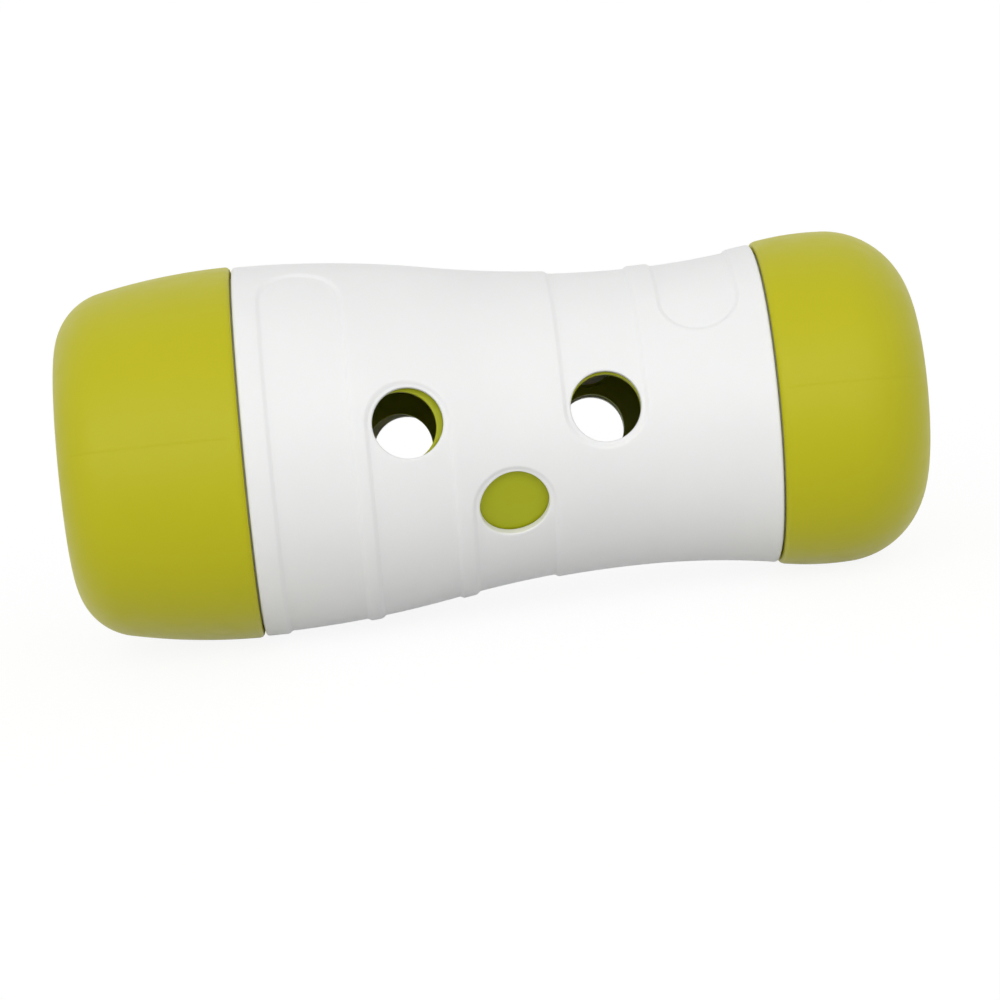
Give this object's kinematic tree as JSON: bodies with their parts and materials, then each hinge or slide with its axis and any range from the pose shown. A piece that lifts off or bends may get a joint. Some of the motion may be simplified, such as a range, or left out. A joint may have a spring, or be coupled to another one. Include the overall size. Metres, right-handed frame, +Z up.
{
  "type": "treat dispensing roll toy",
  "caption": "Hourglass roll for pets: a white sleeve with round treat outlets turns about a green windowed drum, between a large green end cap and a smaller green lid.",
  "frame": {"origin": "on the axis of the roll, midway between its two flat ends", "axes": "+X along the axis towards the small end cap, -Y is the front that the outlets face, +Z up as it lies on the floor"},
  "size_m": [0.2, 0.087, 0.087],
  "materials": {
    "sleeve_white": "satin moulded white",
    "drum_green": "satin moulded lime green",
    "cap_green": "satin moulded lime green"
  },
  "bodies": {
    "sleeve": {"outer_sleeve": "sleeve_white"},
    "drum": {"dispensing_drum": "drum_green", "drum_lock_ring": "drum_green", "large_end_cap": "cap_green"},
    "lid": {"small_end_cap": "cap_green"}
  },
  "joints": [
    {"name": "drum_twist", "type": "hinge", "parent": "sleeve", "child": "drum", "pos_m": [0, 0, 0], "axis": [1, 0, 0], "range_deg": [-33.6, 33.6]},
    {"name": "lid_release", "type": "slide", "parent": "sleeve", "child": "lid", "axis": [1, 0, 0], "range_m": [0, 0.06]}
  ]
}
